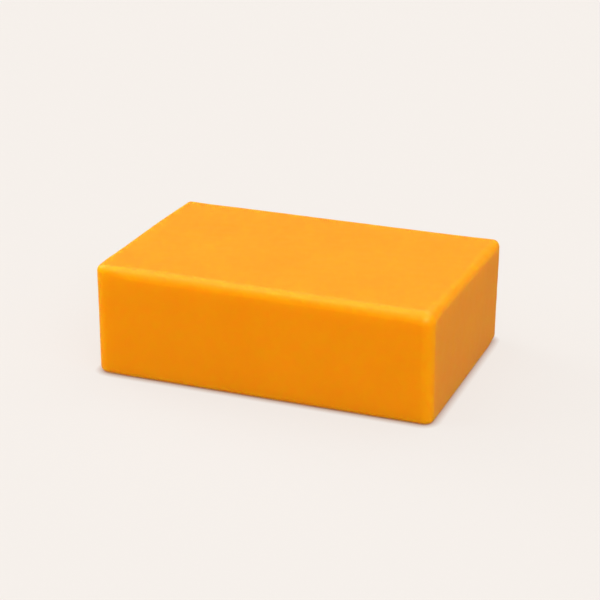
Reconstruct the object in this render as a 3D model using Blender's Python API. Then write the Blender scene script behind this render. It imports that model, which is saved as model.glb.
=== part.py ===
"""A block of orange cheddar cheese, resting on one of its two wide faces.

Metres, +Z up. The long side runs along X, the side seen from the front faces -Y,
and the origin is at the middle of the underside.
"""

import math

import bmesh
import bpy
from mathutils import Matrix, Vector, noise

# Size of the block over its cut faces
LENGTH = 0.1252
WIDTH = 0.0829
HEIGHT = 0.0403

# The knife cuts are slightly out of square. Each slope is in degrees: how far the
# face leans along one of the other two axes.
LEFT_SLOPE_Z = 0.77
FRONT_SLOPE_X = -0.53
FRONT_SLOPE_Z = -2.0
BACK_SLOPE_X = 0.49
TOP_SLOPE_X = -0.17
TOP_SLOPE_Y = -1.33

# Rounding of the four upright edges as seen from above, at their feet and their tops
UPRIGHT_LEFT_FRONT_FOOT = 0.0042
UPRIGHT_LEFT_FRONT_TOP = 0.0042
UPRIGHT_LEFT_BACK_FOOT = 0.0038
UPRIGHT_LEFT_BACK_TOP = 0.0023
UPRIGHT_RIGHT_FRONT_FOOT = 0.0036
UPRIGHT_RIGHT_FRONT_TOP = 0.0044
UPRIGHT_RIGHT_BACK_FOOT = 0.0046
UPRIGHT_RIGHT_BACK_TOP = 0.0024

# Rounding of the edges around the top
TOP_FRONT = 0.0039
TOP_RIGHT = 0.0033
TOP_LEFT = 0.0021
TOP_BACK = 0.0030
# How much tighter they are where they meet above the left front upright edge
LEFT_FRONT_TIGHTER = 0.0018

# Rounding of the edges around the underside, as seen from the side: the edges, and its corners
FOOT_EDGES = 0.0016
FOOT_LEFT_FRONT = 0.0020
FOOT_LEFT_BACK = 0.0020
FOOT_RIGHT_FRONT = 0.0016
FOOT_RIGHT_BACK = 0.0027

# The rounding changes from that of a corner to that of an edge between these distances
CORNER_REACH = 0.004
EDGE_START = 0.012

# Soft unevenness of the pressed faces and of the worn edges
FACE_SWELL = 0.00012
FACE_SWELL_SPACING = 0.030
EDGE_WAVER = 0.00022
EDGE_WAVER_SPACING = 0.013
BASE_FADE = 0.006

# Mesh: a grid of quads over each face, and arc strips along the edges
FIRST_ROUNDING = 0.004
EDGE_STRIPS = 6
GRID_STEP = 0.0042
GRID_MARGIN = 0.0074
SAME_PLACE = 1e-7
FACING_DOWN = -0.9999
BLOCK_EDGE_ANGLE = math.radians(45)
SMOOTH_ANGLE = math.radians(40)

# Annatto-coloured cheddar: deep yellow-orange, softly glossy
CHEDDAR_COLOUR = (0.83, 0.262, 0.008, 1.0)
CHEDDAR_ROUGHNESS = 0.45

HALF = Vector((LENGTH / 2, WIDTH / 2, HEIGHT / 2))


def clear_scene():
    for obj in list(bpy.data.objects):
        bpy.data.objects.remove(obj, do_unlink=True)


def cheddar_material():
    material = bpy.data.materials.new("cheddar")
    material.use_nodes = True
    shader = material.node_tree.nodes["Principled BSDF"]
    shader.inputs["Base Color"].default_value = CHEDDAR_COLOUR
    shader.inputs["Roughness"].default_value = CHEDDAR_ROUGHNESS
    shader.inputs["Metallic"].default_value = 0.0
    material.diffuse_color = CHEDDAR_COLOUR
    return material


def grid_stations(half):
    """Evenly spaced cut positions along one axis, clear of the rounded corners."""
    reach = half - GRID_MARGIN
    steps = max(1, round(2 * reach / GRID_STEP))
    return [-reach + 2 * reach * i / steps for i in range(steps + 1)]


def sharp_block():
    """The plain block, centred on the origin, with its faces scored into a grid."""
    block = bmesh.new()
    bmesh.ops.create_cube(block, size=1.0)
    bmesh.ops.scale(block, vec=(LENGTH, WIDTH, HEIGHT), verts=block.verts)
    for axis in range(3):
        normal = Vector((0.0, 0.0, 0.0))
        normal[axis] = 1.0
        for station in grid_stations(HALF[axis]):
            bmesh.ops.bisect_plane(
                block,
                geom=block.verts[:] + block.edges[:] + block.faces[:],
                dist=SAME_PLACE,
                plane_co=normal * station,
                plane_no=normal,
            )
    return block


def round_edges(block):
    """Round all twelve edges evenly; the radii are varied afterwards."""
    edges = [edge for edge in block.edges if edge.calc_face_angle(0.0) > BLOCK_EDGE_ANGLE]
    bmesh.ops.bevel(
        block,
        geom=edges,
        offset=FIRST_ROUNDING,
        offset_type="OFFSET",
        segments=EDGE_STRIPS,
        profile=0.5,
        affect="EDGES",
        clamp_overlap=True,
    )


def merge_underside(block):
    """The underside is one flat face."""
    base = [face for face in block.faces if face.normal.z < FACING_DOWN]
    bmesh.ops.dissolve_faces(block, faces=base, use_verts=False)


def blend(low, high, share):
    return low + (high - low) * share


def around(point, left_front, left_back, right_front, right_back):
    """Value at a point, blended between its values at the four upright edges."""
    right = 0.5 + 0.5 * point.x / HALF.x
    back = 0.5 + 0.5 * point.y / HALF.y
    return blend(blend(left_front, left_back, back), blend(right_front, right_back, back), right)


def ease(corner, edge, distance):
    """Change smoothly from the value at a corner to the value along an edge."""
    share = min(1.0, max(0.0, (distance - CORNER_REACH) / (EDGE_START - CORNER_REACH)))
    return blend(corner, edge, share * share * (3.0 - 2.0 * share))


def upright_radius(point):
    """Rounding of the upright edges at the height of a point."""
    foot = around(
        point,
        UPRIGHT_LEFT_FRONT_FOOT,
        UPRIGHT_LEFT_BACK_FOOT,
        UPRIGHT_RIGHT_FRONT_FOOT,
        UPRIGHT_RIGHT_BACK_FOOT,
    )
    top = around(
        point,
        UPRIGHT_LEFT_FRONT_TOP,
        UPRIGHT_LEFT_BACK_TOP,
        UPRIGHT_RIGHT_FRONT_TOP,
        UPRIGHT_RIGHT_BACK_TOP,
    )
    return blend(foot, top, 0.5 + 0.5 * point.z / HALF.z)


def foot_radius(point, distance):
    """Rounding of the edges around the underside, at a distance from their corner."""
    corner = around(point, FOOT_LEFT_FRONT, FOOT_LEFT_BACK, FOOT_RIGHT_FRONT, FOOT_RIGHT_BACK)
    return min(ease(corner, FOOT_EDGES, distance), upright_radius(point))


def crown_radius(point):
    """Rounding of the upper edges at their corner, mostly the same as that of the upright edge."""
    return upright_radius(point) - around(point, LEFT_FRONT_TIGHTER, 0.0, 0.0, 0.0)


def top_radius(point, along, distance, corner):
    """Rounding of the upper edges that run along one axis, at a distance from their corner."""
    if along == 0:
        edge = TOP_FRONT if point.y < 0.0 else TOP_BACK
    elif along == 1:
        edge = TOP_LEFT if point.x < 0.0 else TOP_RIGHT
    else:
        return upright_radius(point)
    return ease(corner, edge, distance)


def outward(point):
    """Direction in which the surface faces at a point of the evenly rounded block."""
    offset = Vector((0.0, 0.0, 0.0))
    for axis in range(3):
        reach = HALF[axis] - FIRST_ROUNDING
        core = min(max(point[axis], -reach), reach)
        offset[axis] = point[axis] - core
    return offset.normalized()


def set_back(inset, radius, facing):
    """Distance of a rounded point from the flat face beside it; flat points make room for the arc."""
    if inset < FIRST_ROUNDING + SAME_PLACE:
        return radius * (1.0 - abs(facing))
    if inset < GRID_MARGIN:
        return radius + (inset - FIRST_ROUNDING) * (GRID_MARGIN - radius) / (GRID_MARGIN - FIRST_ROUNDING)
    return inset


def upper_place(point, facing, inset):
    """Distances of a rounded point of the upper half from the three flat faces beside it."""
    upright = upright_radius(point)
    crown = crown_radius(point)
    level = math.hypot(facing.x, facing.y)
    back = []
    for axis in range(3):
        others = [other for other in range(3) if other != axis]
        along = max(others, key=lambda other: inset[other])
        if axis < 2 and max(inset[:2]) < FIRST_ROUNDING + SAME_PLACE:
            turn = abs(facing[axis]) / level if level > SAME_PLACE else 0.0
            back.append(upright * (1.0 - turn) + crown * (turn - abs(facing[axis])))
        else:
            corner = upright if axis < 2 and inset[axis] > FIRST_ROUNDING + SAME_PLACE else crown
            radius = top_radius(point, along, inset[along], corner)
            back.append(set_back(inset[axis], radius, facing[axis]))
    return back


def lower_place(point, facing, inset):
    """The same for the lower half, where the upright edges stay round down to a small foot."""
    upright = upright_radius(point)
    foot = foot_radius(point, max(inset[:2]))
    level = math.hypot(facing.x, facing.y)
    back = []
    for axis in range(2):
        turn = abs(facing[axis]) / level if level > SAME_PLACE else 0.0
        if max(inset[:2]) < FIRST_ROUNDING + SAME_PLACE:
            back.append(upright * (1.0 - turn) + foot * (turn - abs(facing[axis])))
        elif inset[axis] < FIRST_ROUNDING + SAME_PLACE:
            back.append(foot * (1.0 - abs(facing[axis])))
        else:
            back.append(set_back(inset[axis], upright, facing[axis]))
    back.append(set_back(inset[2], foot, facing.z))
    return back


def vary_rounding(point, facing):
    """Move a point of the evenly rounded block onto the rounding of its own place."""
    inset = [HALF[axis] - abs(point[axis]) for axis in range(3)]
    place = upper_place if point.z >= 0.0 else lower_place
    back = place(point, facing, inset)
    return Vector([math.copysign(HALF[axis] - back[axis], point[axis]) for axis in range(3)])


def lean_faces(point):
    """Shift a point with the out-of-square faces on either side of it."""
    right = 0.5 + 0.5 * point.x / HALF.x
    back = 0.5 + 0.5 * point.y / HALF.y
    top = 0.5 + 0.5 * point.z / HALF.z
    left_shift = (1.0 - right) * math.tan(math.radians(LEFT_SLOPE_Z)) * point.z
    end_shift = math.tan(math.radians(blend(FRONT_SLOPE_X, BACK_SLOPE_X, back))) * point.x
    front_shift = (1.0 - back) * math.tan(math.radians(FRONT_SLOPE_Z)) * point.z
    tilt_x = math.tan(math.radians(TOP_SLOPE_X)) * point.x
    tilt_y = math.tan(math.radians(TOP_SLOPE_Y)) * point.y
    return point + Vector((left_shift, end_shift + front_shift, top * (tilt_x + tilt_y)))


def unevenness(point, facing):
    """Height of the soft unevenness, strongest along the edges and none at the base."""
    slant = abs(facing.x) + abs(facing.y) + abs(facing.z) - 1.0
    edge = min(1.0, slant / (math.sqrt(2) - 1.0)) ** 2
    swell = FACE_SWELL * noise.noise(point / FACE_SWELL_SPACING)
    waver = EDGE_WAVER * edge * noise.noise(point / EDGE_WAVER_SPACING)
    height = min(1.0, (point.z + HALF.z) / BASE_FADE)
    return (swell + waver) * height * height * (3.0 - 2.0 * height)


def cheese_mesh():
    block = sharp_block()
    round_edges(block)
    merge_underside(block)
    for vert in block.verts:
        start = vert.co.copy()
        facing = outward(start)
        rounded = lean_faces(vary_rounding(start, facing))
        vert.co = rounded + facing * unevenness(start, facing)
        if start.z < -HALF.z + SAME_PLACE:
            vert.co.z = -HALF.z
    bmesh.ops.recalc_face_normals(block, faces=block.faces)
    mesh = bpy.data.meshes.new("cheese_block")
    block.to_mesh(mesh)
    block.free()
    mesh.transform(Matrix.Translation((0.0, 0.0, HALF.z)))
    mesh.shade_smooth()
    mesh.set_sharp_from_angle(angle=SMOOTH_ANGLE)
    return mesh


def centre_on_origin(mesh):
    """Put the middle of the block's outer limits over the origin."""
    xs = [vert.co.x for vert in mesh.vertices]
    ys = [vert.co.y for vert in mesh.vertices]
    middle = Vector(((min(xs) + max(xs)) / 2, (min(ys) + max(ys)) / 2, 0.0))
    mesh.transform(Matrix.Translation(-middle))


def build():
    clear_scene()
    mesh = cheese_mesh()
    centre_on_origin(mesh)
    mesh.materials.append(cheddar_material())
    cheese = bpy.data.objects.new("cheese_block", mesh)
    bpy.context.scene.collection.objects.link(cheese)


build()
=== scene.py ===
"""Looks of the block of orange cheddar: its fine surface, its cheese material and a pale studio."""

import math

import bmesh
import bpy
from mathutils import Matrix, Vector, noise


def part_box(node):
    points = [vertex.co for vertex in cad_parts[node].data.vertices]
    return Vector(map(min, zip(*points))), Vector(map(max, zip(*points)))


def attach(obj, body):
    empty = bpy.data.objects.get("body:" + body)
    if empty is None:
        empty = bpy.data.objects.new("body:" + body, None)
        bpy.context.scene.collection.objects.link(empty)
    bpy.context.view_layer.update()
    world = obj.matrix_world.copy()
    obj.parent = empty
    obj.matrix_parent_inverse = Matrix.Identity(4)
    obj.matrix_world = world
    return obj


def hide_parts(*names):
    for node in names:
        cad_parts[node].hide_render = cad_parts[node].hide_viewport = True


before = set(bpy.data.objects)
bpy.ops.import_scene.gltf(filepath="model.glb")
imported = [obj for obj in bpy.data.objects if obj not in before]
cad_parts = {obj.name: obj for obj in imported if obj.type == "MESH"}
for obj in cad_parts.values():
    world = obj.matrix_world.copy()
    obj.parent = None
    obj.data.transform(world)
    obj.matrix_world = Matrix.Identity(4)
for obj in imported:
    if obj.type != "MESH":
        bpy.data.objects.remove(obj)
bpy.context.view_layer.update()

NODE = "cheese_block"

# The block: its cut size in metres, and the slopes of its cut faces in degrees
LENGTH = 0.1252
WIDTH = 0.0829
HEIGHT = 0.0403
LEFT_SLOPE_Z = 0.77
FRONT_SLOPE_X = -0.53
FRONT_SLOPE_Z = -2.0
BACK_SLOPE_X = 0.49
TOP_SLOPE_X = -0.17
TOP_SLOPE_Y = -1.33

# Rounding of the four upright edges as seen from above, at their feet and their tops, in metres
UPRIGHT_LEFT_FRONT_FOOT = 0.0042
UPRIGHT_LEFT_FRONT_TOP = 0.0042
UPRIGHT_LEFT_BACK_FOOT = 0.0038
UPRIGHT_LEFT_BACK_TOP = 0.0023
UPRIGHT_RIGHT_FRONT_FOOT = 0.0036
UPRIGHT_RIGHT_FRONT_TOP = 0.0044
UPRIGHT_RIGHT_BACK_FOOT = 0.0046
UPRIGHT_RIGHT_BACK_TOP = 0.0024

# Rounding of the edges around the top
TOP_FRONT = 0.0039
TOP_RIGHT = 0.0033
TOP_LEFT = 0.0021
TOP_BACK = 0.0030
# How much tighter they are where they meet above the left front upright edge
LEFT_FRONT_TIGHTER = 0.0018

# Rounding of the edges around the underside, as seen from the side: the edges, and its corners
FOOT_EDGES = 0.0016
FOOT_LEFT_FRONT = 0.0020
FOOT_LEFT_BACK = 0.0020
FOOT_RIGHT_FRONT = 0.0016
FOOT_RIGHT_BACK = 0.0027

# The rounding changes from that of a corner to that of an edge between these distances
CORNER_REACH = 0.004
EDGE_START = 0.012

# Relief of the surface: height and spacing of each layer, and the height in which it fades out above
# the base, in metres
FACE_SWELL = 0.00012
FACE_SWELL_SPACING = 0.030
EDGE_WAVER = 0.00014
EDGE_WAVER_SPACING = 0.013
EDGE_RIPPLE = 0.00007
EDGE_RIPPLE_SPACING = 0.0048
FACE_DIMPLE = 0.00004
FACE_DIMPLE_SPACING = 0.0035
BASE_FADE = 0.006

# Mesh of the fine surface
FIRST_ROUNDING = 0.004
EDGE_STRIPS = 6
GRID_STEP = 0.0042
GRID_MARGIN = 0.0074
FINE_CUTS = 3
SAME_PLACE = 1e-7
BLOCK_EDGE_ANGLE = math.radians(45)
HALF = Vector((LENGTH / 2, WIDTH / 2, HEIGHT / 2))
# A point closer than this to the plane of a flat face lies on the rounding beside that face
ARC_INSET = FIRST_ROUNDING + SAME_PLACE
# Sum of the three parts of the direction faced, less one: zero on a flat face, and this midway round an edge
EDGE_SLANT = math.sqrt(2) - 1.0

# Cheese: sheen, how light enters it, its two tones, its roughness, and its fine grain
SHEEN_LEVEL = 0.5
SHEEN_TINT = (1.0, 0.85, 0.35, 1.0)
ENTERING_LIGHT = 1.0
LIGHT_REACH = 0.012
LIGHT_REACH_BY_COLOUR = (0.4, 1.0, 0.5)
CLOUD_SCALE = 32.0
CLOUD_DETAIL = 3.0
CLOUD_ROUGHNESS = 0.55
TONES = (
    (0.3, (0.852, 0.294, 0.0011, 1.0)),
    (0.7, (0.885, 0.311, 0.0018, 1.0)),
)
SMOOTHEST = 0.28
ROUGHEST = 0.32
GRAIN_SCALE = 260.0
GRAIN_DETAIL = 1.0
GRAIN_STRENGTH = 0.05
GRAIN_HEIGHT = 0.0002

# Camera, from the photograph: angles in degrees, lengths in metres, lens and sensor in millimetres
VIEW_AZIMUTH = 20.78
VIEW_ELEVATION = 21.94
VIEW_DISTANCE = 0.71099
VIEW_AIM = Vector((-0.00021, 0.0, 0.0218))
LENS = 117.94
SENSOR = 36.0
CLIP_START = 0.01
CLIP_END = 100.0

# Pale seamless floor that shows, and the hidden one a little below it
FLOOR_COLOUR = (0.11, 0.1045, 0.0998, 1.0)
FLOOR_GLOW = (0.75, 0.7102, 0.6754, 1.0)
BOUNCE_COLOUR = (0.5, 0.475, 0.453, 1.0)
NO_GLOW = (0.0, 0.0, 0.0, 1.0)
BOUNCE_HEIGHT = -0.0002
FLOOR_SIZE = 12.0
# Soft warm shade on the floor close to the block: colour, reach, strength and number of rays that find it
SHADE_COLOUR = (0.28, 0.09, 0.01, 1.0)
SHADE_REACH = 0.0028
SHADE_STRENGTH = 1.1
SHADE_RAYS = 16

# Sky, and the suns: name, azimuth, elevation, strength, spread, and whether they make highlights
SKY_COLOUR = (1.0, 1.0, 1.0, 1.0)
SKY_STRENGTH = 0.149
SUNS = (
    ("overhead", 0, 90, 1.769, 120, True),
    ("right_front", 30, 35, 0.935, 40, True),
    ("right", 60, 35, 0.812, 40, True),
    ("high_back", 140, 60, 0.634, 50, True),
    ("left", -110, 35, 0.672, 40, True),
    ("low_left_back", -110, 12, 1.365, 30, False),
    ("low_left", -70, 12, 1.058, 30, False),
    ("ridge_light", -66, 69, 0.26, 20, True),
)


def grid_stations(half):
    """Evenly spaced cut positions along one axis, clear of the rounded corners."""
    reach = half - GRID_MARGIN
    steps = max(1, round(2 * reach / GRID_STEP))
    return [-reach + 2 * reach * i / steps for i in range(steps + 1)]


def rounded_grid():
    """The evenly rounded block, centred on the origin, as a fine grid of quads."""
    block = bmesh.new()
    bmesh.ops.create_cube(block, size=1.0)
    bmesh.ops.scale(block, vec=(LENGTH, WIDTH, HEIGHT), verts=block.verts)
    for axis in range(3):
        normal = Vector((0.0, 0.0, 0.0))
        normal[axis] = 1.0
        for station in grid_stations(HALF[axis]):
            bmesh.ops.bisect_plane(
                block,
                geom=block.verts[:] + block.edges[:] + block.faces[:],
                dist=SAME_PLACE,
                plane_co=normal * station,
                plane_no=normal,
            )
    edges = [edge for edge in block.edges if edge.calc_face_angle(0.0) > BLOCK_EDGE_ANGLE]
    bmesh.ops.bevel(
        block,
        geom=edges,
        offset=FIRST_ROUNDING,
        offset_type="OFFSET",
        segments=EDGE_STRIPS,
        profile=0.5,
        affect="EDGES",
        clamp_overlap=True,
    )
    bmesh.ops.subdivide_edges(block, edges=block.edges[:], cuts=FINE_CUTS, use_grid_fill=True)
    return block


def mix(low, high, share):
    """Value at a share of the way from one value to another."""
    return low + (high - low) * share


def shares(point):
    """How far a point lies to the right, to the back and to the top, each from 0 to 1."""
    return [0.5 + 0.5 * point[axis] / HALF[axis] for axis in range(3)]


def around(point, left_front, left_back, right_front, right_back):
    """Value at a point, blended between its values at the four upright edges."""
    right, back, _ = shares(point)
    return mix(mix(left_front, left_back, back), mix(right_front, right_back, back), right)


def ease(corner, edge, distance):
    """Change smoothly from the value at a corner to the value along an edge."""
    share = min(1.0, max(0.0, (distance - CORNER_REACH) / (EDGE_START - CORNER_REACH)))
    return mix(corner, edge, share * share * (3.0 - 2.0 * share))


def upright_radius(point):
    """Rounding of the upright edges at the height of a point."""
    foot = around(
        point,
        UPRIGHT_LEFT_FRONT_FOOT,
        UPRIGHT_LEFT_BACK_FOOT,
        UPRIGHT_RIGHT_FRONT_FOOT,
        UPRIGHT_RIGHT_BACK_FOOT,
    )
    top = around(
        point,
        UPRIGHT_LEFT_FRONT_TOP,
        UPRIGHT_LEFT_BACK_TOP,
        UPRIGHT_RIGHT_FRONT_TOP,
        UPRIGHT_RIGHT_BACK_TOP,
    )
    return mix(foot, top, shares(point)[2])


def foot_radius(point, distance):
    """Rounding of the edges around the underside, at a distance from their corner."""
    corner = around(point, FOOT_LEFT_FRONT, FOOT_LEFT_BACK, FOOT_RIGHT_FRONT, FOOT_RIGHT_BACK)
    return min(ease(corner, FOOT_EDGES, distance), upright_radius(point))


def crown_radius(point):
    """Rounding of the upper edges at their corner, mostly the same as that of the upright edge."""
    return upright_radius(point) - around(point, LEFT_FRONT_TIGHTER, 0.0, 0.0, 0.0)


def top_radius(point, along, distance, corner):
    """Rounding of the upper edges that run along one axis, at a distance from their corner."""
    if along == 0:
        edge = TOP_FRONT if point.y < 0.0 else TOP_BACK
    elif along == 1:
        edge = TOP_LEFT if point.x < 0.0 else TOP_RIGHT
    else:
        return upright_radius(point)
    return ease(corner, edge, distance)


def outward(point):
    """Direction in which the surface faces at a point of the evenly rounded block."""
    offset = Vector((0.0, 0.0, 0.0))
    for axis in range(3):
        reach = HALF[axis] - FIRST_ROUNDING
        core = min(max(point[axis], -reach), reach)
        offset[axis] = point[axis] - core
    return offset.normalized()


def set_back(inset, radius, facing):
    """Distance of a rounded point from the flat face beside it; flat points make room for the arc."""
    if inset < ARC_INSET:
        return radius * (1.0 - abs(facing))
    if inset < GRID_MARGIN:
        return radius + (inset - FIRST_ROUNDING) * (GRID_MARGIN - radius) / (GRID_MARGIN - FIRST_ROUNDING)
    return inset


def corner_set_back(facing, axis, upright, end):
    """The same on a corner, where an upright edge meets the smaller rounding at its end."""
    level = math.hypot(facing.x, facing.y)
    turn = abs(facing[axis]) / level if level > SAME_PLACE else 0.0
    return upright * (1.0 - turn) + end * (turn - abs(facing[axis]))


def upper_place(point, facing, inset):
    """Distances of a rounded point of the upper half from the three flat faces beside it."""
    upright = upright_radius(point)
    crown = crown_radius(point)
    distances = []
    for axis in range(3):
        others = [other for other in range(3) if other != axis]
        along = max(others, key=lambda other: inset[other])
        if axis < 2 and max(inset[:2]) < ARC_INSET:
            distances.append(corner_set_back(facing, axis, upright, crown))
        else:
            corner = upright if axis < 2 and inset[axis] > ARC_INSET else crown
            radius = top_radius(point, along, inset[along], corner)
            distances.append(set_back(inset[axis], radius, facing[axis]))
    return distances


def lower_place(point, facing, inset):
    """The same for the lower half, where the upright edges stay round down to a small foot."""
    upright = upright_radius(point)
    foot = foot_radius(point, max(inset[:2]))
    distances = []
    for axis in range(2):
        if max(inset[:2]) < ARC_INSET:
            distances.append(corner_set_back(facing, axis, upright, foot))
        else:
            radius = foot if inset[axis] < ARC_INSET else upright
            distances.append(set_back(inset[axis], radius, facing[axis]))
    distances.append(set_back(inset[2], foot, facing.z))
    return distances


def vary_rounding(point, facing):
    """Move a point of the evenly rounded block onto the rounding of its own place."""
    inset = [HALF[axis] - abs(point[axis]) for axis in range(3)]
    place = upper_place if point.z >= 0.0 else lower_place
    distances = place(point, facing, inset)
    return Vector([math.copysign(HALF[axis] - distances[axis], point[axis]) for axis in range(3)])


def slope(degrees):
    """Rise of a slope for each unit of its run."""
    return math.tan(math.radians(degrees))


def lean_faces(point):
    """Shift a point with the out-of-square faces on either side of it."""
    right, back, top = shares(point)
    left_shift = (1.0 - right) * slope(LEFT_SLOPE_Z) * point.z
    skew = slope(mix(FRONT_SLOPE_X, BACK_SLOPE_X, back)) * point.x
    front_shift = (1.0 - back) * slope(FRONT_SLOPE_Z) * point.z
    tilt = slope(TOP_SLOPE_X) * point.x + slope(TOP_SLOPE_Y) * point.y
    return point + Vector((left_shift, skew + front_shift, top * tilt))


def unevenness(point, facing):
    """Height of the relief: strongest along the edges, fading out towards the base."""
    slant = abs(facing.x) + abs(facing.y) + abs(facing.z) - 1.0
    edge = min(1.0, slant / EDGE_SLANT) ** 2
    swell = FACE_SWELL * noise.noise(point / FACE_SWELL_SPACING)
    waver = EDGE_WAVER * edge * noise.noise(point / EDGE_WAVER_SPACING)
    ripple = EDGE_RIPPLE * edge * noise.noise(point / EDGE_RIPPLE_SPACING)
    dimple = FACE_DIMPLE * (1.0 - edge) * noise.noise(point / FACE_DIMPLE_SPACING)
    height = min(1.0, (point.z + HALF.z) / BASE_FADE)
    return (swell + waver + ripple + dimple) * height * height * (3.0 - 2.0 * height)


def fit_to(mesh, low, high):
    """Bring the mesh to exactly the limits of the solid that it replaces."""
    least = Vector([min(vert.co[axis] for vert in mesh.vertices) for axis in range(3)])
    most = Vector([max(vert.co[axis] for vert in mesh.vertices) for axis in range(3)])
    scale = Matrix.Diagonal([(high[a] - low[a]) / (most[a] - least[a]) for a in range(3)]).to_4x4()
    mesh.transform(Matrix.Translation(low) @ scale @ Matrix.Translation(-least))


def cheese():
    """The block itself, with its own roundings, lean and relief, in place of the plain solid."""
    block = rounded_grid()
    for vert in block.verts:
        start = vert.co.copy()
        facing = outward(start)
        rounded = lean_faces(vary_rounding(start, facing))
        vert.co = rounded + facing * unevenness(start, facing)
        if start.z < -HALF.z + SAME_PLACE:
            vert.co.z = -HALF.z
    bmesh.ops.recalc_face_normals(block, faces=block.faces)
    mesh = bpy.data.meshes.new("cheddar_surface")
    block.to_mesh(mesh)
    block.free()
    mesh.shade_smooth()
    fit_to(mesh, *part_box(NODE))
    piece = bpy.data.objects.new("cheddar_surface", mesh)
    bpy.context.scene.collection.objects.link(piece)
    piece.data.materials.append(cheddar())
    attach(piece, "root")
    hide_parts(NODE)


def cheddar():
    """Smooth waxy cheddar: faint cloudy mottling, a soft sheen and light that enters it."""
    material = bpy.data.materials.new("cheddar_cheese")
    material.use_nodes = True
    nodes = material.node_tree.nodes
    links = material.node_tree.links
    shader = nodes["Principled BSDF"]
    shader.inputs["Specular IOR Level"].default_value = SHEEN_LEVEL
    shader.inputs["Specular Tint"].default_value = SHEEN_TINT
    shader.inputs["Subsurface Weight"].default_value = ENTERING_LIGHT
    shader.inputs["Subsurface Radius"].default_value = LIGHT_REACH_BY_COLOUR
    shader.inputs["Subsurface Scale"].default_value = LIGHT_REACH

    place = nodes.new("ShaderNodeTexCoord")
    clouds = nodes.new("ShaderNodeTexNoise")
    clouds.inputs["Scale"].default_value = CLOUD_SCALE
    clouds.inputs["Detail"].default_value = CLOUD_DETAIL
    clouds.inputs["Roughness"].default_value = CLOUD_ROUGHNESS
    links.new(place.outputs["Object"], clouds.inputs["Vector"])

    tone = nodes.new("ShaderNodeValToRGB")
    for stop, (position, colour) in zip(tone.color_ramp.elements, TONES):
        stop.position = position
        stop.color = colour
    links.new(clouds.outputs["Fac"], tone.inputs["Fac"])
    links.new(tone.outputs["Color"], shader.inputs["Base Color"])

    gloss = nodes.new("ShaderNodeMapRange")
    gloss.inputs["To Min"].default_value = SMOOTHEST
    gloss.inputs["To Max"].default_value = ROUGHEST
    links.new(clouds.outputs["Fac"], gloss.inputs["Value"])
    links.new(gloss.outputs["Result"], shader.inputs["Roughness"])

    grain = nodes.new("ShaderNodeTexNoise")
    grain.inputs["Scale"].default_value = GRAIN_SCALE
    grain.inputs["Detail"].default_value = GRAIN_DETAIL
    links.new(place.outputs["Object"], grain.inputs["Vector"])
    bump = nodes.new("ShaderNodeBump")
    bump.inputs["Strength"].default_value = GRAIN_STRENGTH
    bump.inputs["Distance"].default_value = GRAIN_HEIGHT
    links.new(grain.outputs["Fac"], bump.inputs["Height"])
    links.new(bump.outputs["Normal"], shader.inputs["Normal"])
    return material


def floor(name, height, colour, glow):
    """A wide matt floor at a height, with a colour and a glow of its own."""
    mesh = bpy.data.meshes.new(name)
    side = FLOOR_SIZE / 2
    corners = [(-side, -side, height), (side, -side, height), (side, side, height), (-side, side, height)]
    mesh.from_pydata(corners, [], [(0, 1, 2, 3)])
    material = bpy.data.materials.new(name)
    material.use_nodes = True
    shader = material.node_tree.nodes["Principled BSDF"]
    shader.inputs["Base Color"].default_value = colour
    shader.inputs["Roughness"].default_value = 1.0
    shader.inputs["Specular IOR Level"].default_value = 0.0
    shader.inputs["Emission Color"].default_value = glow
    shader.inputs["Emission Strength"].default_value = 1.0
    mesh.materials.append(material)
    plane = bpy.data.objects.new(name, mesh)
    bpy.context.scene.collection.objects.link(plane)
    plane.visible_glossy = False
    return plane


def contact_shade(plane):
    """Dim the floor close to the block, where the least soft light comes in."""
    tree = plane.data.materials[0].node_tree
    openness = tree.nodes.new("ShaderNodeAmbientOcclusion")
    openness.samples = SHADE_RAYS
    openness.inputs["Distance"].default_value = SHADE_REACH
    light = tree.nodes.new("ShaderNodeMath")
    light.operation = "POWER"
    light.inputs[1].default_value = SHADE_STRENGTH
    glow = tree.nodes.new("ShaderNodeMix")
    glow.data_type = "RGBA"
    dim, bright = [socket for socket in glow.inputs if socket.type == "RGBA"]
    dim.default_value = SHADE_COLOUR
    bright.default_value = FLOOR_GLOW
    seen = next(socket for socket in glow.outputs if socket.type == "RGBA")
    tree.links.new(openness.outputs["AO"], light.inputs[0])
    tree.links.new(light.outputs["Value"], glow.inputs["Factor"])
    tree.links.new(seen, tree.nodes["Principled BSDF"].inputs["Emission Color"])


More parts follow.
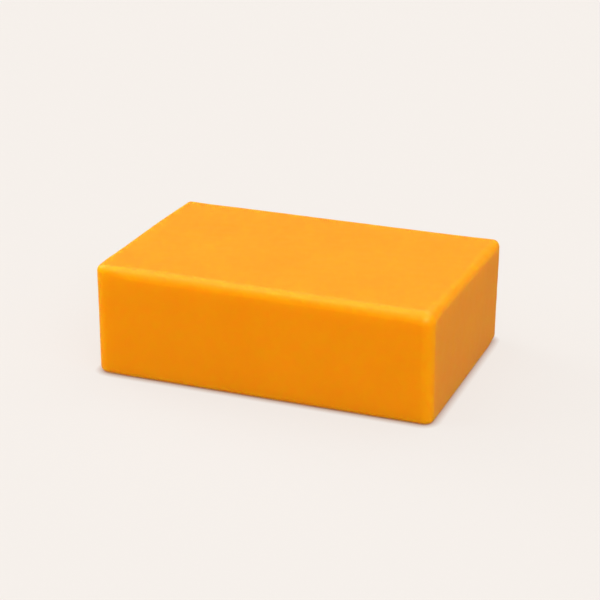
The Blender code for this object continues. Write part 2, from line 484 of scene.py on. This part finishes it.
def floors():
    """The bright floor that shows, and a hidden one under it that sends light back to the block."""
    shown = floor("studio_floor", 0.0, FLOOR_COLOUR, FLOOR_GLOW)
    shown.visible_diffuse = False
    shown.visible_shadow = False
    contact_shade(shown)
    hidden = floor("bounce_floor", BOUNCE_HEIGHT, BOUNCE_COLOUR, NO_GLOW)
    hidden.visible_camera = False


def toward(azimuth, elevation):
    """Direction from the block to a place seen at an azimuth and elevation; azimuth 0 is the front."""
    a = math.radians(azimuth)
    e = math.radians(elevation)
    return Vector((math.sin(a) * math.cos(e), -math.cos(a) * math.cos(e), math.sin(e)))


def camera():
    """The camera, placed and zoomed as for the photograph."""
    data = bpy.data.cameras.new("camera")
    data.sensor_width = SENSOR
    data.lens = LENS
    data.dof.use_dof = False
    data.clip_start = CLIP_START
    data.clip_end = CLIP_END
    eye = bpy.data.objects.new("camera", data)
    back = toward(VIEW_AZIMUTH, VIEW_ELEVATION)
    eye.location = VIEW_AIM + back * VIEW_DISTANCE
    eye.rotation_euler = (-back).to_track_quat("-Z", "Y").to_euler()
    bpy.context.scene.collection.objects.link(eye)
    bpy.context.scene.camera = eye


def sun(name, azimuth, elevation, strength, spread, highlights):
    """A soft light from far away; without highlights it lights the block but isn't mirrored in it."""
    data = bpy.data.lights.new(name, "SUN")
    data.energy = strength
    data.angle = math.radians(spread)
    lamp = bpy.data.objects.new(name, data)
    lamp.rotation_euler = (-toward(azimuth, elevation)).to_track_quat("-Z", "Y").to_euler()
    lamp.visible_glossy = highlights
    bpy.context.scene.collection.objects.link(lamp)


def sky():
    """Faint even light from all around."""
    world = bpy.data.worlds.new("studio")
    world.use_nodes = True
    background = world.node_tree.nodes["Background"]
    background.inputs["Color"].default_value = SKY_COLOUR
    background.inputs["Strength"].default_value = SKY_STRENGTH
    bpy.context.scene.world = world


def studio():
    """The surroundings of the photograph: floors, camera and lights."""
    floors()
    camera()
    sky()
    for light in SUNS:
        sun(*light)
    bpy.context.scene.view_settings.view_transform = "Standard"


cheese()
studio()
